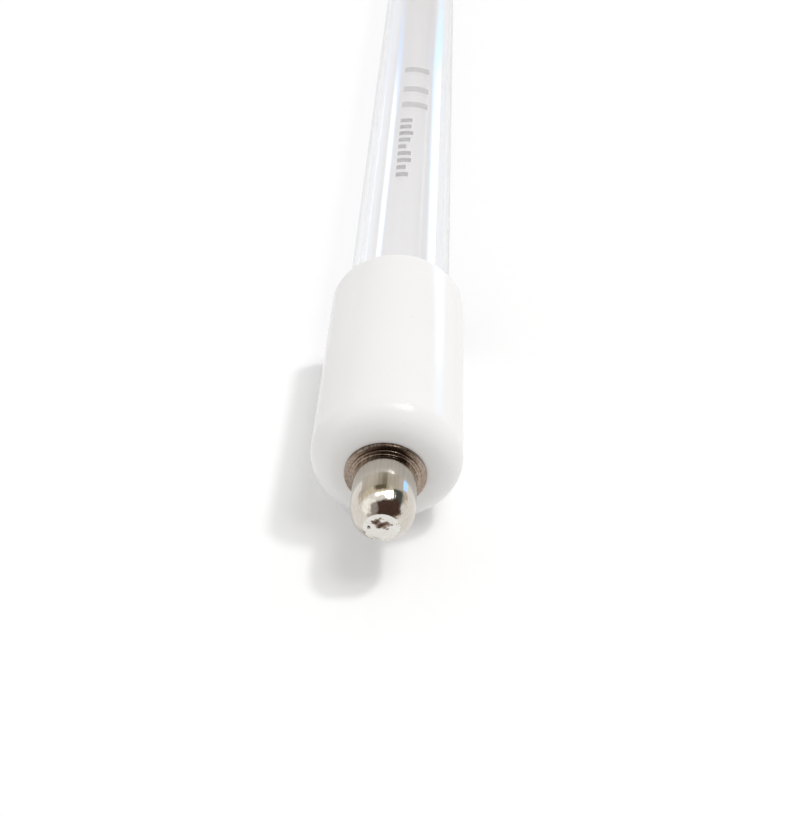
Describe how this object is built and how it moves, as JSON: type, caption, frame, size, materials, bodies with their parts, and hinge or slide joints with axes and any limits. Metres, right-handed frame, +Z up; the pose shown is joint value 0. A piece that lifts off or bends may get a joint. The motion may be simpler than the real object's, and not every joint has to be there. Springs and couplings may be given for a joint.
{
  "type": "uvc germicidal lamp tube",
  "caption": "Straight clear quartz tube lamp with a white ceramic cap and a round plated contact pin at each end, giving germicidal ultraviolet light.",
  "frame": {"origin": "on the lamp's axis, midway between the two cap faces", "axes": "+Y along the lamp from the front pin to the rear pin, +X across the press seals, +Z up, square to the press seals' flats"},
  "size_m": [0.0194, 0.3764, 0.0194],
  "materials": {
    "quartz": "clear polished quartz",
    "mercury": "liquid metal",
    "glazed_ceramic": "glossy white glaze",
    "cement": "matt cement",
    "nickel_plate": "nickel plated, drawn",
    "washer_steel": "plain steel",
    "solder": "bright pitted solder",
    "nickel_wire": "drawn wire",
    "strip_metal": "cut nickel strip",
    "molybdenum_wire": "grey drawn wire",
    "molybdenum_foil": "thin rolled foil",
    "tungsten": "dull tungsten wire"
  },
  "bodies": {
    "root": {"glass_tube": "quartz", "mercury_drop": "mercury", "front_ceramic_cap": "glazed_ceramic", "front_cap_cement": "cement", "front_contact_pin": "nickel_plate", "front_pin_washer": "washer_steel", "front_solder_tip": "solder", "front_lead_wire": "nickel_wire", "front_bridge_strip": "strip_metal", "front_outer_lead_left": "molybdenum_wire", "front_outer_lead_right": "molybdenum_wire", "front_foil_left": "molybdenum_foil", "front_foil_right": "molybdenum_foil", "front_inner_lead_left": "molybdenum_wire", "front_inner_lead_right": "molybdenum_wire", "front_cathode_coil": "tungsten", "rear_ceramic_cap": "glazed_ceramic", "rear_cap_cement": "cement", "rear_contact_pin": "nickel_plate", "rear_pin_washer": "washer_steel", "rear_solder_tip": "solder", "rear_lead_wire": "nickel_wire", "rear_bridge_strip": "strip_metal", "rear_outer_lead_left": "molybdenum_wire", "rear_outer_lead_right": "molybdenum_wire", "rear_foil_left": "molybdenum_foil", "rear_foil_right": "molybdenum_foil", "rear_inner_lead_left": "molybdenum_wire", "rear_inner_lead_right": "molybdenum_wire", "rear_cathode_coil": "tungsten"}
  },
  "joints": []
}
